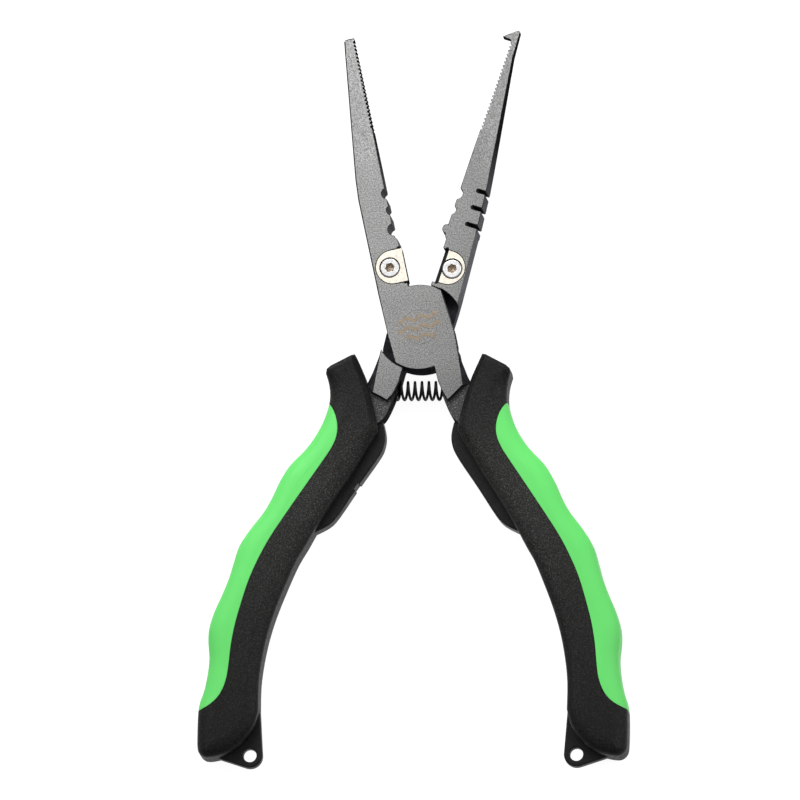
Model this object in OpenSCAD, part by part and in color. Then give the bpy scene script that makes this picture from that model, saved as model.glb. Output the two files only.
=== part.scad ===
// Long-nose fishing pliers, lying flat and held open by their spring.
// X = 0, Y = 0 is the pivot axis, +Y runs to the jaw tips, +Z is the thickness,
// and Z = 0 is the flat back of the lap joint.

/* [Joint] */
// Thickness of the lap joint, of both lever halves together
joint_t = 9; // [8:0.1:11]
// Radius of the round boss of each lever half
boss_r = 12.3; // [11.5:0.1:13]
// Gap between the two lap faces
lap_gap = 0.1; // [0.05:0.01:0.2]
// Gap between a boss and the step of the other lever
step_gap = 0.3; // [0.2:0.05:0.5]
// Diameter of the pivot rivet's shank
rivet_d = 6; // [4:0.1:7]
// Diameter of the flush rivet heads
rivet_head_d = 10; // [9:0.1:12]
// Height of a rivet head
rivet_head_h = 1.5; // [1:0.1:2]
// Radial running clearance of the turning lever on the rivet
rivet_run = 0.05; // [0.02:0.01:0.1]

/* [Jaws] */
// Distance from the pivot to the tip of the plain jaw
jaw_len = 87.3; // [80:0.5:100]
// Width of the plain jaw at its tip
tip_w = 3; // [2.5:0.1:4]
// Thickness of both jaws at the tip
tip_t = 3.4; // [3:0.1:6]
// Distance from the pivot at which the jaws start to get thinner
taper_from = 50; // [45:1:56]
// Angle of the plain jaw from its closed place
open_plain = 12.6; // [10:0.1:14]
// Angle of the hooked jaw from its closed place
open_hooked = 17.3; // [15:0.1:20]
// Where the closed jaws meet, left of the pivot
meet_x = -1.55; // [-2:0.05:-1]
// Gap left between the closed jaws
jaw_gap = 0.1; // [0.05:0.01:0.2]
// Distance between two teeth
tooth_pitch = 1.17; // [0.9:0.01:1.5]
// Depth of a tooth
tooth_h = 0.5; // [0.2:0.05:0.5]
// Distance from the pivot to the last tooth
teeth_from = 59; // [57:0.5:66]
// Reach of the ring hook past the meeting line
hook_reach = 2.6; // [1.5:0.1:3]
// Width of the three slots in the hooked jaw's outer edge
slot_w = 1; // [0.6:0.1:1.4]

/* [Cutters] */
// Height of a cutter along its jaw
cutter_h = 9.6; // [8.8:0.1:10]
// Thickness of a cutter
cutter_t = 5; // [4.5:0.1:6]
// Distance from the pivot to the middle of the cutters
cutter_y = 18.8; // [18.5:0.1:20]
// Where the cutting edges meet, left of the pivot
cut_x = -0.4; // [-0.6:0.05:-0.2]
// Width of the ground bevel on the hooked jaw's cutter
bevel_w = 1.5; // [0.8:0.1:1.8]
// Thread diameter of the cutter screws
screw_d = 3; // [2.5:0.1:3.2]
// Head diameter of the cutter screws
screw_head_d = 5.5; // [5:0.1:6]
// Size across the flats of the hexagon socket
hex_af = 2.5; // [2:0.1:3]
// Clearance round a cutter and round a screw head
cutter_gap = 0.25; // [0.1:0.05:0.3]

/* [Return spring] */
// Outer diameter of the spring
spring_od = 5.9; // [5:0.1:6.2]
// Diameter of the spring's wire
wire_d = 0.8; // [0.5:0.05:1]
// Distance from the pivot to the spring's axis
spring_y = 17.7; // [17:0.1:18]
// Clearance of the spring in its pockets
spring_gap = 0.15; // [0.1:0.05:0.3]
// Distance from the middle to the bottom of a spring pocket
pocket_x = 8.5; // [8:0.1:9]
// Number of turns of the spring
spring_turns = 8; // [6:1:9]

/* [Handles] */
// Distance from the pivot to the bottom of the lanyard ears
handle_len = 126.9; // [115:0.5:145]
// Thickness of a grip
grip_t = 14; // [13.5:0.1:17]
// Thickness of the soft skin over a grip's core
skin_t = 2; // [1.2:0.1:2.2]
// Thickness of the finger guard
guard_t = 5; // [4:0.1:5.8]
// Thickness of a lanyard ear
ear_t = 3; // [2:0.1:4]
// Diameter of a lanyard hole
lanyard_d = 3.8; // [3:0.1:4]
// Thickness of the tang inside a grip
tang_t = 6; // [6:0.1:7]

/* [Hidden] */
$fn = 96;

mid_z = joint_t / 2;
lap_lo = mid_z - lap_gap / 2;
lap_hi = mid_z + lap_gap / 2;
over = 1;

// Inner edges of the two jaws: the grips, the steel by the cutters and the cutting edges
plain_x = meet_x - jaw_gap / 2;
hooked_x = meet_x + jaw_gap / 2;
throat_x = (meet_x + cut_x) / 2 + 0.125;
plain_throat = throat_x - jaw_gap;
hooked_throat = throat_x + jaw_gap;

// Crimping dies: distance from the pivot, radius and how far the centre lies outside the jaw
dies = [[40.1, 1.65, 0.45], [35.1, 1.3, 0.5]];
cap_die_y = 29.4;
cap_die_r = 1.75;
cap_die_gap = 0.35;
throat_top = 26.4;

// Outer edges of the jaws, closed, from the boss up
plain_outer = [[-9.3, 0], [-9.6, 12], [-9.7, 40], [-9.3, 46]];
hooked_outer = [[8.4, 0], [8.3, 8], [7, 30.3], [5.8, 44], [4.2, 56], [0.5, 83]];

// Slots in the outer edge of the hooked jaw
slot_ys = [42.5, 37.5, 32.4];
slot_end_x = 3.2;

head_h = screw_d;
head_ring = screw_head_d / 2 + cutter_gap;
cutter_r = cutter_h / 2;
cutter_z = joint_t - cutter_t;
plain_round_x = -3.9;
hooked_round_x = 2.4;
plain_screw_x = -4.8;
hooked_screw_x = 3.6;
screw_end_z = 1;

tooth_n = floor((jaw_len - 0.8 - teeth_from) / tooth_pitch);
// Corners of a tooth's gullet, as parts of its depth and of the pitch
gullet = [[0, 0], [1, 0.22], [1, 0.62], [0, 0.84]];
hook_y = jaw_len + step_gap;
hook_h = 3.1;

// Outer ends of the steps where the tangs get thinner, on the right
front_step = [12.5, -17.1];
rear_step = [13.4, -18.8];
// Lower ends of the same steps, on the side of the spring
front_tip = [[8.4, -21.3]];
rear_tip = [[10.6, -20.2], [9, -21.2], [7.4, -19.6]];

grip_lo = mid_z - grip_t / 2;
core_t = grip_t - 2 * skin_t;
fixed_y = -62;
stretch = (handle_len + fixed_y) / (126.9 + fixed_y);
ear_at = lengthen([46.6, -123.3]);

// A point turned about the pivot
function turned(p, a) = [p.x * cos(a) - p.y * sin(a), p.x * sin(a) + p.y * cos(a)];

// A point of the grip: what lies below the guard follows the handle's length
function lengthen(p) = p.y > fixed_y ? p : [p.x, fixed_y + (p.y - fixed_y) * stretch];

// A point of a smooth curve between b and c, whose neighbours are a and d
function between(a, b, c, d, t) = 0.5 * (2 * b + (c - a) * t
    + (2 * a - 5 * b + 4 * c - d) * t * t + (3 * b - a - 3 * c + d) * t * t * t);

// A smooth curve through the points p, with n steps from each to the next
function curve(p, n = 3) = concat(
    [for (i = [0:len(p) - 2]) for (j = [0:n - 1])
        between(p[max(i - 1, 0)], p[i], p[i + 1], p[min(i + 2, len(p) - 1)], j / n)],
    [p[len(p) - 1]]);

// The same curve moved sideways by d, to the left of its direction
function beside(c, d) = [for (i = [0:len(c) - 1])
    let (v = c[min(i + 1, len(c) - 1)] - c[max(i - 1, 0)])
    c[i] + d * [-v.y, v.x] / norm(v)];

function backwards(c) = [for (i = [len(c) - 1:-1:0]) c[i]];

// Edges of the right grip, from the collar down
collar_edge = [[18.2, -8.0], [16.5, -11.7], [14.8, -16], [13.2, -21.5], [11.6, -28.3], [11.4, -30.2]];
palm_edge = [for (p = [
    [11.4, -30.2], [14.1, -34.8], [19.2, -43.2], [23.5, -49.7], [28.5, -58], [31.2, -63],
    [34, -67.9], [36.9, -74.7], [39.7, -82], [41.8, -89], [43.2, -96], [44, -103], [44, -111]
]) lengthen(p)];
end_edge = [for (p = [
    [44, -111], [45.4, -115.8], [48.2, -119.8], [52, -122.9], [56, -124.2], [59.2, -124.4],
    [61, -122.8], [61.4, -120.5]
]) lengthen(p)];
finger_edge = [for (p = [
    [26.4, -13.6], [25.5, -17], [25.4, -21.5], [26.8, -26.5], [29, -31], [32, -35.3],
    [36.3, -39.8], [39.2, -44.5], [41.3, -49.2], [43.9, -53.8], [47.5, -58.5], [50.4, -63.1],
    [51.9, -67.8], [53.2, -72.4], [55, -77.1], [57.2, -82.2], [58.6, -87], [58.8, -91],
    [58.4, -95.7], [58.8, -100.3], [59.7, -105], [61.1, -109.6], [61.4, -115], [61.4, -120.5]
]) lengthen(p)];
inlay_edge = [for (p = [
    [28, -20.5], [25.6, -21.9], [23.6, -25.2], [22.7, -28.8], [22.9, -32], [24.2, -35.3],
    [26.9, -39.5], [31.3, -46], [36, -53], [40.9, -60.5], [44.2, -66.6], [47, -73],
    [49.2, -80], [50.8, -86], [51.9, -92], [52.5, -98], [53.2, -102.5], [54.8, -106.5],
    [57.4, -109.3], [61, -111], [64, -111.4]
]) lengthen(p)];
core_palm_edge = concat([[17.6, -13.5], [15.9, -17.5], [14.2, -23], [13.2, -28.4]],
    [for (i = [1:len(palm_edge) - 1]) palm_edge[i]]);
guard_edge = [
    [10.2, -26.9], [9.4, -31], [9.9, -34.6], [11.7, -38], [16.9, -45.6], [22.4, -54],
    [25.2, -57], [29.4, -59.2]
];

module slab(lo, hi) {
    translate([0, 0, lo])
        linear_extrude(hi - lo)
            children();
}

// ---- levers ----

module plain_jaw_face() {
    teeth = [for (i = [0:tooth_n - 1]) for (g = gullet)
        [plain_x - g.x * tooth_h, jaw_len - 0.8 - (i + g.y) * tooth_pitch]];
    difference() {
        polygon(concat(
            plain_outer,
            [[plain_x - tip_w, jaw_len - 0.6], [plain_x - tip_w + 0.6, jaw_len], [plain_x, jaw_len]],
            teeth,
            [[plain_x, teeth_from], [plain_x, throat_top + 0.7], [plain_throat, throat_top], [plain_throat, 0]]));
        for (d = dies)
            translate([plain_x + d.z, d.x])
                circle(d.y);
        translate([plain_x + 0.2, cap_die_y])
            circle(cap_die_r);
    }
}

module hooked_jaw_face() {
    teeth = [for (i = [0:tooth_n - 1]) for (g = gullet)
        [hooked_x + g.x * tooth_h, jaw_len - 0.8 - (i + g.y) * tooth_pitch]];
    hook = curve([
        [0.1, hook_y + hook_h - 0.4], [-0.3, hook_y + hook_h], [hooked_x, hook_y + hook_h * 0.75],
        [hooked_x - hook_reach * 0.5, hook_y + hook_h * 0.42], [hooked_x - hook_reach, hook_y + 0.25]
    ], 4);
    difference() {
        union() {
            polygon(concat(
                hooked_outer,
                hook,
                [[hooked_x - hook_reach, hook_y], [hooked_x - 0.1, hook_y], [hooked_x, hook_y - 0.1]],
                teeth,
                [[hooked_x, teeth_from], [hooked_x, throat_top + 1.2], [hooked_throat, throat_top]],
                [[hooked_throat, 0]]));
            translate([plain_x + 0.2, cap_die_y])
                circle(cap_die_r - cap_die_gap);
        }
        for (d = dies)
            translate([hooked_x - d.z, d.x])
                circle(d.y);
        for (y = slot_ys) {
            translate([slot_end_x + slot_w / 2, y - slot_w / 2])
                square([10, slot_w]);
            translate([slot_end_x + slot_w / 2, y])
                circle(slot_w / 2);
        }
    }
}

// What makes a jaw thinner towards its tip, front and back alike
module jaw_taper() {
    thin = (joint_t - tip_t) / 2;
    tip_y = jaw_len + hook_h;
    for (s = [0, 1])
        translate([-20, 0, mid_z])
            mirror([0, 0, s])
                rotate([90, 0, 90])
                    linear_extrude(40)
                        polygon([[taper_from, mid_z], [tip_y, mid_z - thin], [tip_y + over, mid_z - thin],
                            [tip_y + over, joint_t], [taper_from, joint_t]]);
}

// The U shape of a cutter, side is -1 on the plain jaw and 1 on the hooked one
module cutter_face(side, round_x, grow = 0) {
    edge_x = grow > 0 ? cut_x - side * 4 : cut_x + side * jaw_gap / 2;
    intersection() {
        union() {
            translate([round_x, cutter_y])
                circle(cutter_r + grow);
            translate([min(round_x, edge_x), cutter_y - cutter_r - grow])
                square([abs(round_x - edge_x), cutter_h + 2 * grow]);
        }
        translate([side > 0 ? edge_x : edge_x - 20, 0])
            square([20, 40]);
    }
}

module cutter_pocket(side, round_x, screw_x) {
    slab(cutter_z, joint_t + over)
        cutter_face(side, round_x, cutter_gap);
    translate([cut_x - 4, cutter_y - cutter_r - step_gap, cutter_z - step_gap])
        cube([4.3, cutter_h + 2 * step_gap, joint_t]);
    for (s = [-1, 1])
        translate([cut_x + side * 0.9, cutter_y + s * (cutter_r + cutter_gap), cutter_z])
            cylinder(r = 0.5, h = cutter_t + over, $fn = 32);
    translate([screw_x, cutter_y, screw_end_z - 0.5])
        cylinder(d = screw_d, h = joint_t);
}

// Boss of a lever between its jaw on the left, open by a with its outer edge at x, and its tang
module boss_face(x, a) {
    intersection() {
        circle(boss_r);
        polygon([turned([x + 4, 20], a), turned([x - 0.05, 0.4], a), [-6.3, -11.8], [-6, -13],
            [6, -13], [13, -12.5], [11.8, -9.6], [10, -1.3], [6.1, 10.4], [4, 14]]);
    }
}

// Part of the tang that has the joint's full thickness, on the right, down to its step
module shoulder_face(step) {
    polygon(concat(
        [[6, -4], [10.3, -3.6], [11.4, -8.4], [13.2, -12.8], [14.9, -16.1], step],
        step == rear_step ? rear_tip : front_tip,
        [[6.7, -18.3], [5.6, -15.8], [4.6, -12], [3, -8]]));
}

// Sloping outer edge of the tang, front and back
module shoulder_slope() {
    for (s = [0, 1])
        translate([0, 0, mid_z])
            mirror([0, 0, s])
                translate([10.5, -5, mid_z])
                    rotate([90, 0, 9.6])
                        linear_extrude(15)
                            polygon([[0, 0], [5, -4.2], [5, over], [0, over]]);
}

// Thinner part of the tang, which runs down inside the grip, on the right
module tang_face() {
    polygon(concat(
        curve([[12.6, -12], [14.9, -16.1], [19.4, -24.6], [25, -35], [31, -45], [36, -54]]),
        [[37, -58], [34.6, -59.6]],
        curve([[31, -55], [25.6, -46.5], [19.6, -37.5], [14.8, -30.4], [10.4, -26.8], [8.5, -23.8],
            [6.6, -19.2]])));
}

module tang(step) {
    difference() {
        union() {
            slab(0, joint_t)
                shoulder_face(step);
            slab(mid_z - tang_t / 2, mid_z + tang_t / 2)
                tang_face();
        }
        shoulder_slope();
    }
}

module spring_pocket() {
    translate([0, -spring_y, mid_z])
        rotate([0, 90, 0])
            cylinder(d = spring_od + 2 * spring_gap, h = pocket_x);
}

module front_lever() {
    color("#8d8d8a")
        difference() {
            union() {
                slab(0, joint_t) {
                    rotate(open_plain)
                        plain_jaw_face();
                    boss_face(plain_outer[0].x, open_plain);
                    shoulder_face(front_step);
                }
                tang(front_step);
            }
            shoulder_slope();
            translate([0, 0, -over])
                cylinder(r = boss_r + step_gap, h = lap_hi + over);
            rotate([0, 0, open_plain]) {
                jaw_taper();
                cutter_pocket(-1, plain_round_x, plain_screw_x);
            }
            cylinder(d = rivet_d + 2 * rivet_run, h = joint_t + over);
            translate([0, 0, joint_t - rivet_head_h - rivet_run])
                cylinder(d = rivet_head_d + 2 * rivet_run, h = joint_t);
            spring_pocket();
        }
}

module rear_lever() {
    color("#868683")
        difference() {
            union() {
                slab(0, joint_t) {
                    rotate(-open_hooked)
                        hooked_jaw_face();
                    mirror([1, 0]) {
                        boss_face(-hooked_outer[0].x, open_hooked);
                        shoulder_face(rear_step);
                    }
                }
                mirror([1, 0, 0])
                    tang(rear_step);
            }
            mirror([1, 0, 0]) {
                shoulder_slope();
                spring_pocket();
            }
            translate([0, 0, lap_lo])
                cylinder(r = boss_r + step_gap, h = joint_t);
            rotate([0, 0, -open_hooked]) {
                jaw_taper();
                cutter_pocket(1, hooked_round_x, hooked_screw_x);
            }
            translate([0, 0, -over])
                cylinder(d = rivet_d, h = joint_t);
            translate([0, 0, -over])
                cylinder(d = rivet_head_d, h = rivet_head_h + over);
        }
}

module pivot_rivet() {
    color("#8a8a87") {
        cylinder(d = rivet_d, h = joint_t);
        cylinder(d = rivet_head_d, h = rivet_head_h);
        translate([0, 0, joint_t - rivet_head_h])
            cylinder(d = rivet_head_d, h = rivet_head_h);
    }
}

// ---- cutters and their screws ----

module cutter(side, round_x, screw_x) {
    difference() {
        slab(cutter_z, joint_t)
            cutter_face(side, round_x);
        translate([screw_x, cutter_y, 0])
            cylinder(d = screw_d + 2 * cutter_gap, h = joint_t);
        translate([screw_x, cutter_y, joint_t - head_h])
            cylinder(r = head_ring, h = joint_t);
        if (side > 0)
            translate([cut_x + jaw_gap / 2, cutter_y + cutter_h, 0])
                rotate([90, 0, 0])
                    linear_extrude(2 * cutter_h)
                        polygon([[-over, cutter_z + 1.6], [0, cutter_z + 1.6], [bevel_w, joint_t],
                            [bevel_w, joint_t + over], [-over, joint_t + over]]);
    }
}

module left_cutter() {
    color("#d8d5cc")
        rotate([0, 0, open_plain])
            cutter(-1, plain_round_x, plain_screw_x);
}

module right_cutter() {
    color("#e2d9c4")
        rotate([0, 0, -open_hooked])
            cutter(1, hooked_round_x, hooked_screw_x);
}

module socket_screw() {
    r = screw_head_d / 2;
    difference() {
        union() {
            translate([0, 0, screw_end_z])
                cylinder(d = screw_d, h = joint_t - head_h - screw_end_z + 0.5);
            translate([0, 0, joint_t - head_h])
                rotate_extrude()
                    polygon([[0, 0], [r, 0], [r, head_h - 0.35], [r - 0.3, head_h], [0, head_h]]);
        }
        translate([0, 0, joint_t - head_h / 2])
            cylinder(d = hex_af / cos(30), h = joint_t, $fn = 6);
    }
}

module left_cutter_screw() {
    color("#c9c9c9")
        rotate([0, 0, open_plain])
            translate([plain_screw_x, cutter_y, 0])
                socket_screw();
}

module right_cutter_screw() {
    color("#c9c9c9")
        rotate([0, 0, -open_hooked])
            translate([hooked_screw_x, cutter_y, 0])
                socket_screw();
}

// ---- return spring: one wire along a coil ----

module return_spring() {
    sides = 8;
    steps = 18;
    coil_r = (spring_od - wire_d) / 2;
    rings = spring_turns * steps;
    run = 2 * (pocket_x - spring_gap - wire_d / 2);
    points = [for (i = [0:rings]) for (k = [0:sides - 1])
        let (turn = 360 * i / steps, a = 360 * k / sides, r = coil_r + wire_d / 2 * cos(a))
        [-run / 2 + run * i / rings + wire_d / 2 * sin(a), r * cos(turn), r * sin(turn)]];
    walls = [for (i = [0:rings - 1]) for (k = [0:sides - 1])
        let (a = i * sides + k, b = i * sides + (k + 1) % sides)
        [a, a + sides, b + sides, b]];
    ends = [[for (k = [0:sides - 1]) k], [for (k = [sides - 1:-1:0]) rings * sides + k]];
    color("#1c1c1c")
        translate([0, -spring_y, mid_z])
            polyhedron(points, concat(walls, ends));
}

// ---- grips ----

module grip_face() {
    polygon(concat(
        curve(collar_edge),
        [for (i = [1:3 * (len(palm_edge) - 1)]) curve(palm_edge)[i]],
        [for (i = [1:3 * (len(end_edge) - 1)]) curve(end_edge)[i]],
        [for (i = [3 * (len(finger_edge) - 1) - 1:-1:0]) curve(finger_edge)[i]],
        [[26.1, -12.3], [25, -11.3], [19.2, -8.2]]));
}

module core_face() {
    fingers = [for (i = [1:len(finger_edge) - 1]) finger_edge[i]];
    polygon(concat(beside(curve(core_palm_edge), skin_t), backwards(beside(curve(fingers), -skin_t))));
}

module guard_face() {
    polygon(concat(curve(guard_edge), [[34, -62], [27, -49], [18, -33.5], [14.5, -27.5]]));
}

module ear_face() {
    difference() {
        union() {
            translate(ear_at)
                circle(lanyard_d / 2 + 1.7);
            polygon([for (p = [[43.9, -110], [43.0, -123.3], [47.8, -126.7], [56, -124.0], [56, -112]])
                lengthen(p)]);
        }
        translate(ear_at)
            circle(d = lanyard_d);
    }
}

module inlay_face() {
    polygon(concat(curve(inlay_edge), [[80, -112 * stretch], [80, -20.5]]));
}

module core_solid() {
    slab(mid_z - core_t / 2, mid_z + core_t / 2)
        core_face();
    slab(mid_z - guard_t / 2, mid_z + guard_t / 2)
        guard_face();
    slab(mid_z - ear_t / 2, mid_z + ear_t / 2)
        ear_face();
}

module core(step) {
    difference() {
        core_solid();
        tang(step);
    }
}

module sleeve(step) {
    difference() {
        slab(grip_lo, grip_lo + grip_t)
            grip_face();
        core_solid();
        tang(step);
        translate([0, 0, mid_z - ear_t / 2])
            translate(ear_at)
                cylinder(d = lanyard_d, h = ear_t);
        slab(grip_lo - over, grip_lo + grip_t + over)
            inlay_face();
    }
}

module inlay() {
    difference() {
        intersection() {
            slab(grip_lo, grip_lo + grip_t)
                grip_face();
            slab(grip_lo, grip_lo + grip_t)
                inlay_face();
        }
        core_solid();
    }
}

module left_core() {
    color("#2b2b29")
        mirror([1, 0, 0])
            core(rear_step);
}

module right_core() {
    color("#2b2b29")
        core(front_step);
}

module left_sleeve() {
    color("#232321")
        mirror([1, 0, 0])
            sleeve(rear_step);
}

module right_sleeve() {
    color("#232321")
        sleeve(front_step);
}

module left_inlay() {
    color("#74f376")
        mirror([1, 0, 0])
            inlay();
}

module right_inlay() {
    color("#74f376")
        inlay();
}

front_lever();
rear_lever();
pivot_rivet();
return_spring();
left_cutter();
right_cutter();
left_cutter_screw();
right_cutter_screw();
left_core();
right_core();
left_sleeve();
right_sleeve();
left_inlay();
right_inlay();
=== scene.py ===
"""Looks of a pair of long-nose fishing pliers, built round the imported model."""

from math import cos, pi, radians, sin

import bpy
from mathutils import Matrix, Vector


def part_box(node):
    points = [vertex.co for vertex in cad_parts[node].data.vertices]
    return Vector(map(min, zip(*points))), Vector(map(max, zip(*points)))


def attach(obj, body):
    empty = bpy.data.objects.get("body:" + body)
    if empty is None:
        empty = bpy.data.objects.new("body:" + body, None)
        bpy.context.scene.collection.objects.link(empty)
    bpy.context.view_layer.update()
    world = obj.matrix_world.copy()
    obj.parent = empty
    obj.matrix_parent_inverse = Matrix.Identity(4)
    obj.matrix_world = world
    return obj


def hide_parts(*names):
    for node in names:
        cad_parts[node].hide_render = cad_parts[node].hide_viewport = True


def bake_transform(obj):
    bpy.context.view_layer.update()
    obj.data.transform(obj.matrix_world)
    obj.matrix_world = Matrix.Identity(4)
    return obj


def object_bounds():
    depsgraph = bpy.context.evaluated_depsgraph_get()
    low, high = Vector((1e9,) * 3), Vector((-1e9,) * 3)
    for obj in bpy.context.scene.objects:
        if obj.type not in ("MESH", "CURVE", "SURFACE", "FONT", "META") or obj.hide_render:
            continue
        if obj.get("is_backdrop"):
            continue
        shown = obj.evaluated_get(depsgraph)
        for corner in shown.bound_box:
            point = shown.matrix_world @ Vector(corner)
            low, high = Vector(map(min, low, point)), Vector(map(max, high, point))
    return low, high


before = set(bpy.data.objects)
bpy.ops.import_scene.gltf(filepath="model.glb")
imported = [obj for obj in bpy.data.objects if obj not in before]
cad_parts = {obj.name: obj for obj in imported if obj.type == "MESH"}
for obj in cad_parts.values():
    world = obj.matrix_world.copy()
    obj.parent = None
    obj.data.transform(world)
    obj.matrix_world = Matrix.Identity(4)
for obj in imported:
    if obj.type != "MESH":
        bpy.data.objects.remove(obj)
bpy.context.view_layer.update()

bl_info = {
    "name": "Fishing Pliers",
    "version": (1, 0, 0),
    "blender": (4, 5, 0),
    "location": "3D View > Sidebar > Pliers",
    "description": "Builds a pair of fishing pliers, piece by piece, round its packed model",
    "category": "Object",
}

MM = 0.001
SIDES = ("left", "right")
REAR = "rear_side"
FRONT = "front_side"
LEVER_OF = {"left": "rear_lever", "right": "front_lever"}
GRIP_BODY = {"left": REAR, "right": FRONT}
JAW_BODY = {"left": FRONT, "right": REAR}

lap_low, lap_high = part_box("pivot_rivet")
mid_z = (lap_low.z + lap_high.z) / 2
grip_low, grip_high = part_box("right_sleeve")


# ---- settings ----


def length(name, description, default, low=0.0, high=0.1):
    return bpy.props.FloatProperty(
        name=name, description=description, default=default, min=low, max=high,
        precision=5, subtype="DISTANCE", unit="LENGTH",
    )


def colour(name, description, default):
    return bpy.props.FloatVectorProperty(
        name=name, description=description, default=default, min=0.0, max=1.0,
        size=3, subtype="COLOR",
    )


def amount(name, description, default, high=5.0, unit="NONE"):
    return bpy.props.FloatProperty(
        name=name, description=description, default=default, min=0.0, max=high, unit=unit,
    )


class PliersSteelSettings(bpy.types.PropertyGroup):
    """Sizes and colours of the steel pieces."""

    edge: length("Edge", "Width of the broken edges of the levers", 0.18 * MM)
    outer_edge: length("Outer edge", "Width of the ground edge outside the plain jaw", 0.36 * MM)
    screw_edge: length("Screw edge", "Width of the broken edges of the screws", 0.084 * MM)
    rivet_edge: length("Rivet edge", "Width of the broken edges of the rivet", 0.02 * MM)
    coating: colour("Coating", "Colour of the grainy coating on the faces", (0.185, 0.185, 0.182))
    flank: colour("Flank", "Colour of the dark flanks", (0.016, 0.0155, 0.018))
    # The side colour is a painted reflection: a grey standing in for the floor reflected in the
    # walls beside the joint.
    side: colour("Side", "Colour of the satin walls beside the joint", (0.17, 0.165, 0.18))
    neck: colour("Neck", "Colour of the rough necks below the joint", (0.02, 0.0195, 0.019))
    cutter: colour("Cutter", "Colour of the ground cutters", (0.72, 0.67, 0.58))
    socket: colour("Socket", "Colour inside the screws' sockets", (0.2, 0.16, 0.12))
    screw: colour("Screw", "Colour of the stainless screws", (0.75, 0.75, 0.75))
    mark: colour("Mark", "Colour of the etched mark", (0.185, 0.147, 0.104))
    wire: colour("Wire", "Colour of the spring wire", (0.003, 0.003, 0.003))


class PliersGripSettings(bpy.types.PropertyGroup):
    """Sizes and colours of the grips."""

    palm_round: length("Palm rounding", "Radius of the edges on the palm side", 2.6 * MM)
    finger_round: length("Finger rounding", "Radius of the edges on the finger side", 3.6 * MM)
    back_round: length("Back rounding", "Radius of the edges of the back", 5.0 * MM)
    collar_edge: length("Collar edge", "Width of the edges beside the tang", 1.7 * MM)
    top_edge: length("Top edge", "Radius of the edge at the top of a grip", 1.1 * MM)
    guard_edge: length("Guard edge", "Radius of the edges of the finger guard", 1.0 * MM)
    groove: length("Groove", "Width of the groove between sleeve and inlay", 0.06 * MM)
    skin: colour("Skin", "Colour of the black sleeve", (0.016, 0.016, 0.015))
    core: colour("Core", "Colour of the hard core", (0.007, 0.007, 0.0075))
    inlay: colour("Inlay", "Colour of the soft inlay", (0.088, 0.5, 0.1))


class PliersStageSettings(bpy.types.PropertyGroup):
    """Camera and light."""

    distance: length("Distance", "Distance of the camera", 9.0, 1.0, 10.0)
    frame_width: length("Frame width", "Width that the camera takes in", 227.3 * MM, 0.01, 1.0)
    floor: colour("Floor", "Colour of the floor", (0.16, 0.16, 0.16))
    floor_glow: amount("Floor glow", "Light that the floor gives by itself", 0.93)
    overhead: amount("Overhead", "Strength of the light from overhead", 0.7)
    around: amount("Around", "Strength of the light from the sides", 0.15)
    left_power: amount("Left power", "Power of the light on the left", 7.5, 100.0, "POWER")
    right_power: amount("Right power", "Power of the light on the right", 12.0, 100.0, "POWER")
    top_power: amount("Top power", "Power of the light at the top", 4.6, 100.0, "POWER")


# ---- mesh helpers ----


def only(*objects):
    """Selects these objects and nothing else; the first is the active one."""
    bpy.ops.object.select_all(action="DESELECT")
    for o in objects:
        o.select_set(True)
    bpy.context.view_layer.objects.active = objects[0]


def edit(piece, kind="FACE"):
    only(piece)
    bpy.ops.object.mode_set(mode="EDIT")
    bpy.ops.mesh.select_mode(type=kind)


def leave_edit():
    bpy.ops.object.mode_set(mode="OBJECT")


def pick_faces(piece, test):
    """Selects the faces whose centre and normal pass the test; the piece is in object mode."""
    mesh = piece.data
    for v in mesh.vertices:
        v.select = False
    for e in mesh.edges:
        e.select = False
    for p in mesh.polygons:
        p.select = bool(test(p.center, p.normal))


def node_copy(node, name, turn=0.1):
    """A copy of a CAD node's mesh with its doubles merged and its flat faces joined."""
    piece = bpy.data.objects.new(name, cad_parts[node].data.copy())
    bpy.context.scene.collection.objects.link(piece)
    piece.data.materials.clear()
    edit(piece)
    bpy.ops.mesh.select_all(action="SELECT")
    bpy.ops.mesh.remove_doubles(threshold=0.002 * MM)
    bpy.ops.mesh.customdata_custom_splitnormals_clear()
    bpy.ops.mesh.select_all(action="SELECT")
    bpy.ops.mesh.dissolve_limited(angle_limit=radians(turn))
    leave_edit()
    return piece


def keep_faces(piece, test):
    """Deletes all faces but those that pass the test."""
    pick_faces(piece, lambda c, n: not test(c, n))
    edit(piece)
    bpy.ops.mesh.delete(type="FACE")
    leave_edit()


def apply_all(piece):
    only(piece)
    for m in list(piece.modifiers):
        bpy.ops.object.modifier_apply(modifier=m.name)


def break_edges(piece, width, angle=35.0, segments=2, weigh=None, clamp=False):
    """Bevels a piece's sharp edges; weigh gives the part of the width for an edge's two ends."""
    mesh = piece.data
    normals = {}
    for p in mesh.polygons:
        for key in p.edge_keys:
            normals.setdefault(key, []).append(p.normal.copy())
    weights = mesh.attributes.new("bevel_weight_edge", "FLOAT", "EDGE")
    for e in mesh.edges:
        pair = normals[tuple(sorted(e.vertices))]
        a, b = (mesh.vertices[v].co for v in e.vertices)
        sharp = len(pair) == 2 and pair[0].angle(pair[1]) > radians(angle)
        weights.data[e.index].value = (weigh(a, b) if weigh else 1.0) if sharp else 0.0
    m = piece.modifiers.new("Edges", "BEVEL")
    m.width = width
    m.segments = segments
    m.limit_method = "WEIGHT"
    m.use_clamp_overlap = clamp
    apply_all(piece)


def even_shading(piece, angle=40.0):
    """Shades a piece smooth, with its flat faces left flat."""
    only(piece)
    bpy.ops.object.shade_smooth_by_angle(angle=radians(angle))
    m = piece.modifiers.new("Normals", "WEIGHTED_NORMAL")
    m.keep_sharp = True
    apply_all(piece)


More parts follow.
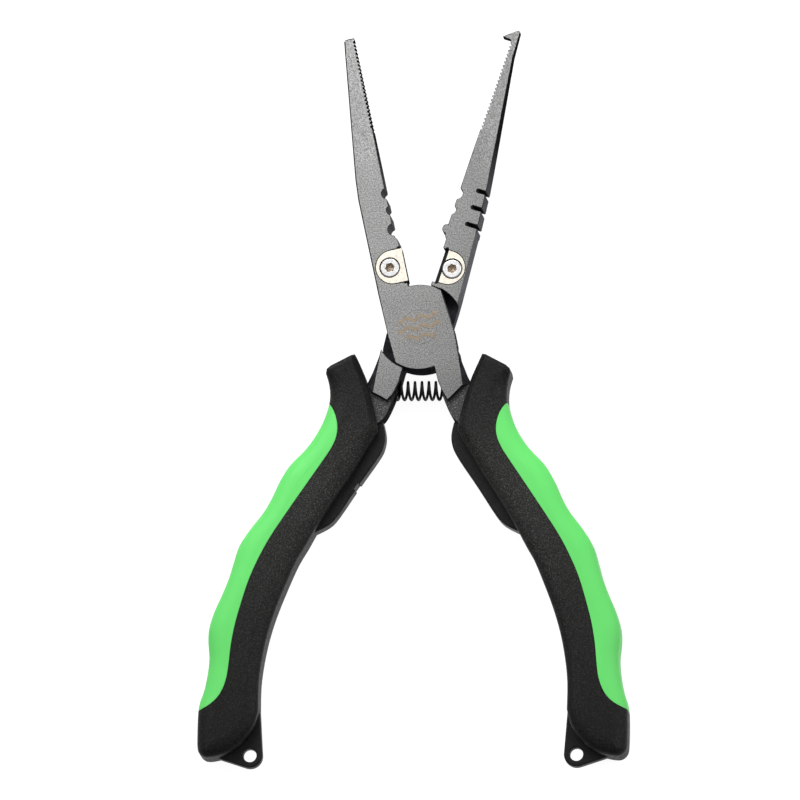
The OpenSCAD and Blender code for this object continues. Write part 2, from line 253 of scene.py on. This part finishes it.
def cut(piece, tool, operation="DIFFERENCE"):
    """Cuts a piece with a tool, which stays."""
    m = piece.modifiers.new("Cut", "BOOLEAN")
    m.operation = operation
    m.solver = "MANIFOLD"
    m.object = tool
    apply_all(piece)


def discard(*objects):
    for o in objects:
        mesh = o.data
        bpy.data.objects.remove(o)
        bpy.data.meshes.remove(mesh)


def finish_piece(piece, body, slot, *nodes):
    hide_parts(*nodes)
    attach(piece, body)


def paint(piece, materials, choose):
    """Gives each face the material that choose picks from its centre and normal."""
    for m in materials:
        piece.data.materials.append(m)
    for p in piece.data.polygons:
        p.material_index = choose(p.center, p.normal)


# ---- materials ----


def new_material(name, colour_value, roughness, metallic=0.0, specular=0.5):
    material = bpy.data.materials.new(name)
    material.use_nodes = True
    shader = material.node_tree.nodes["Principled BSDF"]
    shader.inputs["Base Color"].default_value = (*colour_value, 1)
    shader.inputs["Roughness"].default_value = roughness
    shader.inputs["Metallic"].default_value = metallic
    shader.inputs["Specular IOR Level"].default_value = specular
    return material, shader


def node(material, kind, **values):
    made = material.node_tree.nodes.new(kind)
    for key, value in values.items():
        if key in made.inputs:
            made.inputs[key].default_value = value
        else:
            setattr(made, key, value)
    return made


def link(material, source, target):
    material.node_tree.links.new(source, target)


def noise(material, size, detail=2.0, roughness=0.5, stretch=(1, 1, 1)):
    """Noise with spots of a size in metres, on the piece's own coordinates."""
    place = node(material, "ShaderNodeTexCoord")
    mapping = node(material, "ShaderNodeMapping")
    mapping.inputs["Scale"].default_value = stretch
    texture = node(
        material, "ShaderNodeTexNoise", Scale=1 / size, Detail=detail, Roughness=roughness)
    link(material, place.outputs["Object"], mapping.inputs["Vector"])
    link(material, mapping.outputs["Vector"], texture.inputs["Vector"])
    return texture.outputs["Fac"]


def ramp(material, source, stops):
    """Colours along a value: stops are (position, colour)."""
    made = node(material, "ShaderNodeValToRGB")
    elements = made.color_ramp.elements
    while len(elements) < len(stops):
        elements.new(0.5)
    for element, (position, value) in zip(elements, stops):
        element.position = position
        element.color = (*value, 1)
    link(material, source, made.inputs["Fac"])
    return made.outputs["Color"]


def along_axis(material, axis, stops):
    """A grey that changes along an axis of the piece: stops are (millimetres, brightness)."""
    place = node(material, "ShaderNodeTexCoord")
    split = node(material, "ShaderNodeSeparateXYZ")
    link(material, place.outputs["Object"], split.inputs["Vector"])
    start, end = stops[0][0], stops[-1][0]
    part = node(material, "ShaderNodeMapRange")
    part.inputs["From Min"].default_value = start * MM
    part.inputs["From Max"].default_value = end * MM
    link(material, split.outputs[axis], part.inputs["Value"])
    greys = [((at - start) / (end - start), (value,) * 3) for at, value in stops]
    return ramp(material, part.outputs["Result"], greys)


def multiply(material, a, b):
    made = node(material, "ShaderNodeMix", data_type="RGBA", blend_type="MULTIPLY")
    made.inputs["Factor"].default_value = 1.0
    link(material, a, made.inputs["A"])
    link(material, b, made.inputs["B"])
    return made.outputs["Result"]


def bump(material, shader, source, height, strength=1.0):
    made = node(material, "ShaderNodeBump", Strength=strength, Distance=height)
    link(material, source, made.inputs["Height"])
    if shader.inputs["Normal"].is_linked:
        link(material, shader.inputs["Normal"].links[0].from_socket, made.inputs["Normal"])
    link(material, made.outputs["Normal"], shader.inputs["Normal"])


def spread(material, source, low, high):
    """A value's noise spread over a range."""
    made = node(material, "ShaderNodeMapRange")
    made.inputs["From Min"].default_value = 0.3
    made.inputs["From Max"].default_value = 0.7
    made.inputs["To Min"].default_value = low
    made.inputs["To Max"].default_value = high
    link(material, source, made.inputs["Value"])
    return made.outputs["Result"]


def shade(value, factor):
    return tuple(min(1.0, c * factor) for c in value)


def clouded(material, value, source, *stops):
    """Shades of a colour along a noise: stops are (position, factor)."""
    return ramp(material, source, [(position, shade(value, factor)) for position, factor in stops])


def uneven_gloss(material, shader, size, low, high):
    """Roughness that varies between two values, in spots of a size."""
    spots = spread(material, noise(material, size), low, high)
    link(material, spots, shader.inputs["Roughness"])


def coating_material(value):
    """Grainy grey coating: fine dark specks over a cloudy grey, with painted shade towards the
    tangs and +x.
    """
    material, shader = new_material("coated steel", value, 0.5, 0.35, 0.5)
    grain = clouded(
        material, value, noise(material, 0.36 * MM, 3.0, 0.65),
        (0.32, 0.3), (0.48, 0.95), (0.66, 1.7))
    cloud = ramp(material, noise(material, 9 * MM, 2.0), [(0.3, (0.88,) * 3), (0.7, (1, 1, 1))])
    # Painted shade: the grey darkens along y towards the tangs and across towards +x, standing in
    # for the light falling off there.
    along = along_axis(material, "Y", [(-16, 0.72), (-8, 0.89), (5, 0.91), (30, 1.0)])
    across = along_axis(material, "X", [(-5, 1.0), (14, 0.8)])
    grain_and_painted_shade = multiply(material, multiply(material, grain, cloud), multiply(material, along, across))
    link(material, grain_and_painted_shade, shader.inputs["Base Color"])
    uneven_gloss(material, shader, 0.6 * MM, 0.42, 0.6)
    bump(material, shader, noise(material, 0.36 * MM, 3.0, 0.6), 0.04 * MM, 0.7)
    return material


def flank_material(value):
    """Smooth blackened steel of the flanks."""
    material, shader = new_material("dark steel", value, 0.6, 0.0, 0.0)
    cloud = clouded(material, value, noise(material, 1.8 * MM, 3.0), (0.35, 0.75), (0.68, 1.5))
    link(material, cloud, shader.inputs["Base Color"])
    uneven_gloss(material, shader, 1.2 * MM, 0.3, 0.45)
    bump(material, shader, noise(material, 0.8 * MM), 0.03 * MM, 0.4)
    return material


def wall_reflection_material(value):
    """Dark steel walls beside the joint, with a painted reflection of the floor, blacker towards
    the tips.
    """
    material, shader = new_material("side steel", value, 0.5, 0.0, 0.0)
    cloud = clouded(material, value, noise(material, 1.6 * MM, 3.0), (0.35, 0.75), (0.65, 1))
    # Painted reflection: brightest beside the joint, fading towards the tangs and the tips.
    along = along_axis(
        material, "Y",
        [(-20, 0.12), (2, 0.4), (12, 0.8), (32, 0.6), (44, 0.3), (54, 0.06), (85, 0.04)])
    link(material, multiply(material, cloud, along), shader.inputs["Base Color"])
    bump(material, shader, noise(material, 0.8 * MM), 0.03 * MM, 0.4)
    return material


def neck_material(value):
    """Rough dark steel with bright specks."""
    material, shader = new_material("rough steel", value, 0.5, 0.2, 0.4)
    specks = clouded(
        material, value, noise(material, 0.36 * MM, 2.0, 0.6),
        (0.35, 0.4), (0.55, 1), (0.68, 6))
    link(material, specks, shader.inputs["Base Color"])
    bump(material, shader, noise(material, 0.4 * MM, 3.0, 0.7), 0.12 * MM, 0.9)
    return material


def cutter_material(value):
    """Bright ground steel with fine lines."""
    material, shader = new_material("cutter steel", value, 0.32, 0.55, 0.5)
    lines = clouded(
        material, value, noise(material, 0.25 * MM, 2.0, 0.6, (1, 0.12, 1)),
        (0.3, 0.86), (0.7, 1.05))
    link(material, lines, shader.inputs["Base Color"])
    uneven_gloss(material, shader, 0.8 * MM, 0.26, 0.4)
    bump(material, shader, noise(material, 0.25 * MM, 2.0, 0.6, (1, 0.12, 1)), 0.01 * MM, 0.2)
    return material


def bevel_material(value):
    """Dark stone-ground cutting bevel."""
    material, shader = new_material("ground bevel", value, 0.6, 0.0, 0.0)
    lines = clouded(
        material, value, noise(material, 0.3 * MM, 2.0, 0.6, (0.15, 1, 1)),
        (0.3, 0.6), (0.7, 1.6))
    link(material, lines, shader.inputs["Base Color"])
    return material


def screw_material(value):
    """Polished stainless steel."""
    material, shader = new_material("screw steel", value, 0.3, 0.6, 0.5)
    swirl = clouded(material, value, noise(material, 0.9 * MM, 2.0), (0.3, 0.8), (0.7, 1.1))
    link(material, swirl, shader.inputs["Base Color"])
    uneven_gloss(material, shader, 0.5 * MM, 0.16, 0.3)
    return material


def socket_material(value):
    """Brownish steel inside a socket."""
    material, shader = new_material("socket steel", value, 0.5, 0.3, 0.5)
    cloud = clouded(material, value, noise(material, 0.5 * MM), (0.35, 0.5), (0.65, 3))
    link(material, cloud, shader.inputs["Base Color"])
    return material


def wire_material(value):
    """Blackened spring wire."""
    material, shader = new_material("spring wire", value, 0.4, 0.0, 0.1)
    cloud = clouded(material, value, noise(material, 0.7 * MM), (0.3, 0.7), (0.7, 1.6))
    link(material, cloud, shader.inputs["Base Color"])
    return material


def mark_material(value):
    """Tan etching."""
    material, shader = new_material("etched mark", value, 0.6, 0.0, 0.3)
    cloud = clouded(material, value, noise(material, 0.4 * MM, 3.0), (0.3, 0.75), (0.7, 1.25))
    link(material, cloud, shader.inputs["Base Color"])
    return material


def skin_material(value):
    """Fine-grained black soft plastic, with a painted sheen in the middle of the grip."""
    material, shader = new_material("grip skin", value, 0.55, 0.0, 0.12)
    specks = clouded(
        material, value, noise(material, 0.34 * MM, 2.0, 0.6),
        (0.36, 0.35), (0.52, 0.8), (0.68, 3.4))
    # Painted sheen: brightest halfway down the grip, darker towards the collar and the tail.
    along = along_axis(material, "Y", [(-118, 0.25), (-85, 0.5), (-48, 1.0), (-25, 0.5), (-5, 0.2)])
    link(material, multiply(material, specks, along), shader.inputs["Base Color"])
    uneven_gloss(material, shader, 0.7 * MM, 0.42, 0.6)
    bump(material, shader, noise(material, 0.34 * MM, 2.0, 0.6), 0.06 * MM, 0.8)
    return material


def core_material(value):
    """Smooth black hard plastic."""
    material, shader = new_material("core plastic", value, 0.45, 0.0, 0.1)
    cloud = clouded(material, value, noise(material, 0.6 * MM), (0.3, 0.8), (0.7, 1.5))
    link(material, cloud, shader.inputs["Base Color"])
    uneven_gloss(material, shader, 3 * MM, 0.36, 0.5)
    bump(material, shader, noise(material, 0.5 * MM, 2.0), 0.03 * MM, 0.5)
    return material


def inlay_material(value):
    """Satin green soft plastic."""
    material, shader = new_material("green inlay", value, 0.5, 0.0, 0.3)
    cloud = clouded(material, value, noise(material, 14 * MM, 2.0), (0.3, 0.96), (0.7, 1.02))
    link(material, cloud, shader.inputs["Base Color"])
    uneven_gloss(material, shader, 0.6 * MM, 0.46, 0.56)
    bump(material, shader, noise(material, 0.35 * MM, 2.0), 0.012 * MM, 0.4)
    return material


# ---- steel ----


class PLIERS_OT_levers(bpy.types.Operator):
    """Build the two levers with their coated faces and dark flanks"""

    bl_idname = "pliers.levers"
    bl_label = "Levers"

    def execute(self, context):
        steel = context.scene.pliers_steel
        finishes = [
            coating_material(steel.coating), flank_material(steel.flank),
            neck_material(steel.neck), wall_reflection_material(steel.side)]

        coated, dark, rough, painted_reflection = range(4)
        face_level = 4.4 * MM
        jaw_start = 30 * MM
        tang_start = -11 * MM

        def choose(centre, normal):
            level = abs(centre.z - mid_z)
            if abs(normal.z) < 0.9:
                # Upright walls facing +x beside the joint get the painted reflection of the floor;
                # the other walls stay dark.
                upright = abs(normal.z) < 0.3 and normal.x > 0.25
                return painted_reflection if upright and centre.y > -24 * MM else dark
            if level > face_level or centre.y > jaw_start:
                return coated
            # Flat faces below the top faces, in the lap of the joint, get the dark colour: dark
            # steel with painted shade of the recess.
            sparkling = centre.y < -5 * MM and centre.x < 0
            return rough if sparkling or (centre.y < tang_start and level > 2.5 * MM) else dark

        pockets = [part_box(side + "_cutter") for side in SIDES]
        pocket_margin = 0.9 * MM
        teeth_start = 56 * MM
        rivet_reach = 6 * MM

        def in_pocket(place):
            return any(
                all(low[k] - pocket_margin < place[k] < high[k] + pocket_margin for k in (0, 1))
                for low, high in pockets)

        def weigh(a, b):
            """No edge at the teeth, pockets and rivet, a wide one outside the plain jaw."""
            middle = (a + b) / 2
            short_or_upright = (a - b).length < MM or abs(a.z - b.z) > 0.7 * (a - b).length
            tooth = a.y > teeth_start and short_or_upright
            if tooth or in_pocket(middle) or middle.xy.length < rivet_reach:
                return 0.0
            outer = middle.y > 8 * MM and middle.x < -10 * MM - 0.11 * middle.y
            return 1.0 if outer else steel.edge / steel.outer_edge

        for name, body in (("front_lever", FRONT), ("rear_lever", REAR)):
            piece = node_copy(name, name + "_steel")
            break_edges(piece, steel.outer_edge, segments=1, weigh=weigh)
            paint(piece, finishes, choose)
            even_shading(piece)
            finish_piece(piece, body, "steel", name)
        return {"FINISHED"}


class PLIERS_OT_rivet(bpy.types.Operator):
    """Build the flush pivot rivet"""

    bl_idname = "pliers.rivet"
    bl_label = "Pivot rivet"

    def execute(self, context):
        steel = context.scene.pliers_steel
        piece = node_copy("pivot_rivet", "pivot_rivet_steel")
        break_edges(piece, steel.rivet_edge)
        piece.data.materials.append(bpy.data.materials["coated steel"])
        even_shading(piece)
        finish_piece(piece, REAR, "steel", "pivot_rivet")
        return {"FINISHED"}


class PLIERS_OT_mark(bpy.types.Operator):
    """Etch three plain waves on the boss"""

    bl_idname = "pliers.mark"
    bl_label = "Etched waves"

    def execute(self, context):
        steel = context.scene.pliers_steel
        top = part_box("front_lever")[1].z
        width, swing, wavelength, proud = 1.1 * MM, 0.5 * MM, 4.2 * MM, 0.03 * MM
        waves = []
        for reach, rise in ((11.5 * MM, 2.7 * MM), (12.5 * MM, 0), (8.5 * MM, -2.7 * MM)):
            bpy.ops.object.select_all(action="DESELECT")
            bpy.ops.mesh.primitive_grid_add(x_subdivisions=40, y_subdivisions=1, size=1)
            wave = context.active_object
            wave.name = "boss_mark"
            for v in wave.data.vertices:
                x = v.co.x * reach
                y = v.co.y * width + rise + swing * sin(2 * pi * x / wavelength)
                v.co = (x, y, top + 0.003 * MM)
            edit(wave)
            bpy.ops.mesh.select_all(action="SELECT")
            bpy.ops.mesh.extrude_region_move(TRANSFORM_OT_translate={"value": (0, 0, proud)})
            bpy.ops.mesh.select_all(action="SELECT")
            bpy.ops.mesh.normals_make_consistent(inside=False)
            leave_edit()
            waves.append(wave)
        only(*waves)
        bpy.ops.object.join()
        piece = context.active_object
        piece.data.transform(Matrix.Rotation(radians(11), 4, "Z"))
        piece.data.materials.append(mark_material(steel.mark))
        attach(piece, FRONT)
        return {"FINISHED"}


class PLIERS_OT_cutters(bpy.types.Operator):
    """Build the two ground cutters"""

    bl_idname = "pliers.cutters"
    bl_label = "Cutters"

    def execute(self, context):
        steel = context.scene.pliers_steel
        finishes = [
            cutter_material(steel.cutter), bevel_material(steel.flank),
            flank_material(steel.flank)]
        for side in SIDES:
            name = side + "_cutter"
            piece = node_copy(name, name + "_steel")
            paint(piece, finishes, lambda c, n: 0 if n.z > 0.9 else 1 if 0.2 < n.z < 0.8 else 2)
            only(piece)
            bpy.ops.object.shade_smooth_by_angle(angle=radians(25))
            finish_piece(piece, JAW_BODY[side], "cutter_steel", name)
        return {"FINISHED"}


class PLIERS_OT_screws(bpy.types.Operator):
    """Build the socket screws that hold the cutters"""

    bl_idname = "pliers.screws"
    bl_label = "Cutter screws"

    def execute(self, context):
        steel = context.scene.pliers_steel
        finishes = [screw_material(steel.screw), socket_material(steel.socket)]
        for side in SIDES:
            name = side + "_cutter_screw"
            piece = node_copy(name, name + "_steel")
            low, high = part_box(name)
            axis = (low + high) / 2
            break_edges(piece, steel.screw_edge, clamp=True)

            def in_socket(c):
                return axis.z < c.z < high.z - 0.1 * MM and (c - axis).xy.length < 1.6 * MM

            paint(piece, finishes, lambda c, n: 1 if in_socket(c) else 0)
            even_shading(piece)
            finish_piece(piece, JAW_BODY[side], "screw_steel", name)
        return {"FINISHED"}


class PLIERS_OT_spring(bpy.types.Operator):
    """Wind the return spring between the two tangs"""

    bl_idname = "pliers.spring"
    bl_label = "Return spring"

    def execute(self, context):
        low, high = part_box("return_spring")
        wire = 0.4 * MM
        turns = 8
        steps = 32
        centre = (low + high) / 2
        coil = (high.z - low.z) / 2 - wire
        run = high.x - low.x - 2 * wire
        bpy.ops.object.select_all(action="DESELECT")
        bpy.ops.mesh.primitive_circle_add(
            vertices=12, radius=wire, location=(coil, 0, 0), rotation=(pi / 2, 0, 0))
        piece = bpy.context.active_object
        piece.name = "return_spring_wire"
        bpy.ops.object.transform_apply(location=True, rotation=True, scale=True)
        m = piece.modifiers.new("Coil", "SCREW")
        m.axis = "Z"
        m.angle = 2 * pi * turns
        m.screw_offset = run
        m.steps = steps * turns
        m.render_steps = steps * turns
        m.use_smooth_shade = True
        m.use_normal_calculate = True
        apply_all(piece)
        edit(piece, "EDGE")
        bpy.ops.mesh.select_all(action="DESELECT")
        bpy.ops.mesh.select_non_manifold()
        bpy.ops.mesh.fill_holes(sides=0)
        bpy.ops.mesh.select_all(action="SELECT")
        bpy.ops.mesh.normals_make_consistent(inside=False)
        leave_edit()
        piece.data.transform(
            Matrix.Translation(centre) @ Matrix.Rotation(pi / 2, 4, "Y")
            @ Matrix.Translation((0, 0, -run / 2)))
        piece.data.materials.append(wire_material(context.scene.pliers_steel.wire))
        only(piece)
        bpy.ops.object.shade_smooth_by_angle(angle=radians(50))
        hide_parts("return_spring")
        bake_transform(piece)
        return {"FINISHED"}


# ---- grips ----


def plate(name, nodes, low_z, high_z, shortest=0.02 * MM):
    """The front faces of these CAD nodes, joined and made a solid between two heights."""
    parts = [node_copy(n, name) for n in nodes]
    for p in parts:
        keep_faces(p, lambda c, n: n.z > 0.99 and c.z > grip_high.z - 0.05 * MM)
    only(*parts)
    if len(parts) > 1:
        bpy.ops.object.join()
    piece = bpy.context.active_object
    piece.name = name
    edit(piece)
    bpy.ops.mesh.select_all(action="SELECT")
    bpy.ops.mesh.remove_doubles(threshold=0.02 * MM)
    bpy.ops.mesh.dissolve_limited(angle_limit=radians(0.1), delimit=set())
    bpy.ops.mesh.select_all(action="SELECT")
    bpy.ops.mesh.remove_doubles(threshold=shortest)
    bpy.ops.mesh.select_all(action="SELECT")
    bpy.ops.transform.translate(value=(0, 0, high_z - grip_high.z))
    bpy.ops.mesh.extrude_region_move(TRANSFORM_OT_translate={"value": (0, 0, low_z - high_z)})
    bpy.ops.mesh.select_all(action="SELECT")
    bpy.ops.mesh.normals_make_consistent(inside=False)
    leave_edit()
    return piece


def fatten(piece, by):
    edit(piece)
    bpy.ops.mesh.select_all(action="SELECT")
    bpy.ops.transform.shrink_fatten(value=by, use_even_offset=True)
    leave_edit()


def smoothed(values, reach):
    """Each value averaged with its neighbours."""
    count = len(values)
    near = range(-reach, reach + 1)
    return [sum(values[(i + k) % count] for k in near) / len(near) for i in range(count)]


def inset_paths(points, facing, widths, steps=30):
    """Places of an outline's points as each moves inward; points that meet go on as one."""
    count = len(points)
    leader = list(range(count))
    place = [p.xy.copy() for p in points]
    paths = [[p.copy() for p in place]]
    for _ in range(steps):
        ring = [i for i in range(count) if leader[i] == i]
        moves = []
        for k, i in enumerate(ring):
            back = place[i] - place[ring[k - 1]]
            ahead = place[ring[(k + 1) % len(ring)]] - place[i]
            turn = back.angle_signed(ahead)
            heading = (back.normalized() + ahead.normalized()).normalized()
            stride = widths[i] / steps / max(cos(turn / 2), 0.3)
            moves.append(Vector((-heading.y, heading.x)) * facing * stride)
        before = [place[ring[(k + 1) % len(ring)]] - place[i] for k, i in enumerate(ring)]
        for i, move in zip(ring, moves):
            place[i] += move
        for k, i in enumerate(ring):
            j = ring[(k + 1) % len(ring)]
            edge = place[j] - place[i]
            meet = edge.length < 0.12 * MM or edge.dot(before[k]) < 0
            if meet and leader[i] == i and leader[j] == j:
                place[i] = (place[i] + place[j]) / 2
                leader = [i if m == j else m for m in leader]
        paths.append([place[m].copy() for m in leader])
    return paths


def round_rims(piece, wanted, steps=10):
    """Rounds the rims of a plate's two flat faces. For a point of the outline, wanted gives how far
    the rounding goes across and down, and how near it is to a chamfer."""
    mesh = piece.data

    def spot(v):
        """A vertex's place in tenths of a micrometre, to find its copy by."""
        return tuple(round(c * 1e7) for c in mesh.vertices[v].co)

    for facing in (1, -1):
        top = max(p.center.z * facing for p in mesh.polygons)
        pick_faces(piece, lambda c, n: n.z * facing > 0.9 and c.z * facing > top - 0.01 * MM)
        face = next(p for p in mesh.polygons if p.select)
        points = [mesh.vertices[i].co.copy() for i in face.vertices]
        count = len(points)
        plans = []
        for i in range(count):
            heading = (points[(i + 1) % count] - points[i - 1]).normalized() * facing
            plans.append(wanted(points[i], heading, facing))
        widths, drops, shapes = (smoothed([plan[k] for plan in plans], 2) for k in range(3))
        paths = inset_paths(points, facing, widths)
        rings = [list(face.vertices)]
        for _ in range(steps):
            last = {spot(v): i for i, v in enumerate(rings[-1])}
            edit(piece)
            bpy.ops.mesh.extrude_region_move(TRANSFORM_OT_translate={"value": (0, 0, 0)})
            leave_edit()
            face = next(p for p in mesh.polygons if p.select)
            ring = [0] * count
            for v in face.vertices:
                ring[last[spot(v)]] = v
            rings.append(ring)
        for step, ring in enumerate(rings):
            part = pi / 2 * step / steps
            for i, v in enumerate(ring):
                inset = (1 - max(cos(part), 0.0) ** shapes[i]) * (len(paths) - 1)
                low = min(int(inset), len(paths) - 2)
                place = paths[low][i].lerp(paths[low + 1][i], inset - low)
                drop = drops[i] * (1 - sin(part) ** shapes[i])
                mesh.vertices[v].co = (*place, points[i].z - drop * facing)
        mesh.update()
    edit(piece)
    bpy.ops.mesh.select_all(action="SELECT")
    bpy.ops.mesh.remove_doubles(threshold=0.01 * MM)
    bpy.ops.mesh.select_all(action="SELECT")
    bpy.ops.mesh.normals_make_consistent(inside=False)
    leave_edit()


# heights along the pliers where the rim of a grip changes
COLLAR_BOTTOM = -30.5 * MM
COLLAR_TOP = -15 * MM
TAIL_TOP = -124 * MM


def grip_rim(point, heading, outward, facing, grip):
    """How a grip's rim is rounded at a point of its outline."""
    inner = heading.y * outward < 0
    if point.y > COLLAR_BOTTOM and inner and facing > 0:
        return grip.collar_edge, grip.collar_edge * 1.3, 1.75
    if facing < 0:
        return grip.back_round, grip.back_round, 1.0
    if point.y > COLLAR_TOP:
        return grip.top_edge, grip.top_edge, 1.0
    if inner or point.y < TAIL_TOP:
        return 1.7 * grip.palm_round, grip.palm_round, 1.0
    return 1.5 * grip.finger_round, grip.finger_round, 1.0


class PLIERS_OT_cores(bpy.types.Operator):
    """Build the hard cores, with the finger guard and the lanyard ear"""

    bl_idname = "pliers.cores"
    bl_label = "Grip cores"

    def execute(self, context):
        grip = context.scene.pliers_grip
        finish = core_material(grip.core)
        notch_place = (-16.5 * MM, -46.3 * MM)
        notch_size = (2.2 * MM, 2.4 * MM, 9 * MM)
        guard_slant = radians(55.6)
        for side in SIDES:
            name = side + "_core"
            piece = node_copy(name, name + "_plastic")
            break_edges(piece, grip.guard_edge * 0.5, 60, 3)
            if side == "left":
                bpy.ops.object.select_all(action="DESELECT")
                bpy.ops.mesh.primitive_cube_add(
                    size=1, location=(*notch_place, mid_z), rotation=(0, 0, guard_slant),
                    scale=notch_size)
                notch = context.active_object
                bpy.ops.object.transform_apply(location=True, rotation=True, scale=True)
                cut(piece, notch)
                discard(notch)
            piece.data.materials.clear()
            piece.data.materials.append(finish)
            even_shading(piece)
            finish_piece(piece, GRIP_BODY[side], "core_plastic", name)
        return {"FINISHED"}


class PLIERS_OT_grips(bpy.types.Operator):
    """Build the black sleeves and the green inlays from one rounded body for each grip"""

    bl_idname = "pliers.grips"
    bl_label = "Grip sleeves and inlays"

    def execute(self, context):
        grip = context.scene.pliers_grip
        skin = skin_material(grip.skin)
        green = inlay_material(grip.inlay)
        for side in SIDES:
            sleeve_node, inlay_node = side + "_sleeve", side + "_inlay"
            sleeve = plate(
                side + "_sleeve_skin", [sleeve_node, inlay_node], grip_low.z, grip_high.z,
                shortest=0.7 * MM)
            outward = 1 if side == "right" else -1

            def rim(point, heading, facing):
                return grip_rim(point, heading, outward, facing, grip)

            round_rims(sleeve, rim)
            inlay = sleeve.copy()
            inlay.data = sleeve.data.copy()
            inlay.name = side + "_inlay_skin"
            context.scene.collection.objects.link(inlay)
            past = 2 * MM
            inlay_tool = plate("inlay tool", [inlay_node], grip_low.z - past, grip_high.z + past)
            sleeve_tool = plate("sleeve tool", [sleeve_node], grip_low.z - past, grip_high.z + past)
            fatten(inlay_tool, grip.groove / 2)
            fatten(sleeve_tool, grip.groove / 2)
            core_tool = node_copy(side + "_core", "core tool")
            tang_tool = node_copy(LEVER_OF[side], "tang tool")
            cut(sleeve, inlay_tool)
            cut(sleeve, core_tool)
            cut(sleeve, tang_tool)
            cut(inlay, sleeve_tool)
            cut(inlay, core_tool)
            discard(inlay_tool, sleeve_tool, core_tool, tang_tool)
            for piece, finish, slot, cad in (
                (sleeve, skin, "grip_skin", sleeve_node),
                (inlay, green, "green_inlay", inlay_node),
            ):
                piece.data.materials.clear()
                piece.data.materials.append(finish)
                even_shading(piece, 35)
                finish_piece(piece, GRIP_BODY[side], slot, cad)
        return {"FINISHED"}


# ---- stage ----


def area_light(name, place, target, size, power):
    data = bpy.data.lights.new(name, "AREA")
    data.shape = "RECTANGLE"
    data.size, data.size_y = size
    data.energy = power
    light = bpy.data.objects.new(name, data)
    bpy.context.scene.collection.objects.link(light)
    light.location = place
    light.rotation_mode = "QUATERNION"
    light.rotation_quaternion = (Vector(place) - Vector(target)).to_track_quat("Z", "Y")
    light.visible_camera = False
    return light


def studio_world(overhead, sides):
    """Light from all round, stronger from overhead than from the sides."""
    world = bpy.data.worlds.new("studio")
    world.use_nodes = True
    nodes, links = world.node_tree.nodes, world.node_tree.links
    place = nodes.new("ShaderNodeTexCoord")
    split = nodes.new("ShaderNodeSeparateXYZ")
    height = nodes.new("ShaderNodeMapRange")
    height.interpolation_type = "SMOOTHSTEP"
    height.inputs["From Min"].default_value = 0.45
    height.inputs["From Max"].default_value = 0.85
    height.inputs["To Min"].default_value = sides
    height.inputs["To Max"].default_value = overhead
    links.new(place.outputs["Generated"], split.inputs["Vector"])
    links.new(split.outputs["Z"], height.inputs["Value"])
    background = nodes["Background"]
    background.inputs["Color"].default_value = (1, 1, 1, 1)
    links.new(height.outputs["Result"], background.inputs["Strength"])
    bpy.context.scene.world = world


class PLIERS_OT_stage(bpy.types.Operator):
    """Set up the floor, the lights and the camera"""

    bl_idname = "pliers.stage"
    bl_label = "Stage"

    def execute(self, context):
        stage = context.scene.pliers_stage
        low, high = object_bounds()
        bpy.ops.object.select_all(action="DESELECT")
        bpy.ops.mesh.primitive_plane_add(size=6, location=(0, 0, low.z - 0.05 * MM))
        floor = context.active_object
        floor.name = "floor"
        finish, shader = new_material("pale floor", stage.floor, 0.8, 0.0, 0.2)
        shader.inputs["Emission Color"].default_value = (1, 1, 1, 1)
        shader.inputs["Emission Strength"].default_value = stage.floor_glow
        floor.data.materials.append(finish)
        floor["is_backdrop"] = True

        studio_world(stage.overhead, stage.around)
        middle = (low + high) / 2
        tall, wide = (0.8, 1.4), (0.5, 0.3)
        area_light("left light", (-1.1, 0.5, 1.0), middle, tall, stage.left_power)
        area_light("right light", (1.2, 0.2, 0.9), middle, tall, stage.right_power)
        area_light("top light", (-0.12, 0.42, 0.4), (-0.02, 0.08, 0), wide, stage.top_power)

        camera = bpy.data.objects.new("camera", bpy.data.cameras.new("camera"))
        context.scene.collection.objects.link(camera)
        right = Vector((0.9937, 0.0178, -0.111)).normalized()
        towards = Vector((0.1123, -0.2037, 0.9728)).normalized()
        up = towards.cross(right).normalized()
        aim = Vector((-5.1 * MM, -21.2 * MM, lap_high.z))
        camera.matrix_world = Matrix.Translation(aim + towards * stage.distance) @ Matrix(
            (right, up, towards)).transposed().to_4x4()
        camera.data.lens = camera.data.sensor_width * stage.distance / stage.frame_width
        camera.data.clip_end = 20
        context.scene.camera = camera
        context.scene.view_settings.view_transform = "Standard"
        return {"FINISHED"}


# ---- panel and registration ----

OPERATORS = (
    PLIERS_OT_levers,
    PLIERS_OT_rivet,
    PLIERS_OT_mark,
    PLIERS_OT_cutters,
    PLIERS_OT_screws,
    PLIERS_OT_spring,
    PLIERS_OT_cores,
    PLIERS_OT_grips,
    PLIERS_OT_stage,
)


class PLIERS_PT_panel(bpy.types.Panel):
    """Lists the steps that build the pliers"""

    bl_idname = "PLIERS_PT_panel"
    bl_label = "Fishing Pliers"
    bl_space_type = "VIEW_3D"
    bl_region_type = "UI"
    bl_category = "Pliers"

    def draw(self, context):
        for step in OPERATORS:
            self.layout.operator(step.bl_idname)


SETTINGS = {
    "pliers_steel": PliersSteelSettings,
    "pliers_grip": PliersGripSettings,
    "pliers_stage": PliersStageSettings,
}


def register():
    for cls in (*SETTINGS.values(), *OPERATORS, PLIERS_PT_panel):
        bpy.utils.register_class(cls)
    for name, cls in SETTINGS.items():
        setattr(bpy.types.Scene, name, bpy.props.PointerProperty(type=cls))


def unregister():
    for name in SETTINGS:
        delattr(bpy.types.Scene, name)
    for cls in reversed((*SETTINGS.values(), *OPERATORS, PLIERS_PT_panel)):
        bpy.utils.unregister_class(cls)


def main():
    register()
    for step in OPERATORS:
        category, name = step.bl_idname.split(".")
        getattr(getattr(bpy.ops, category), name)()


if __name__ == "__main__":
    main()
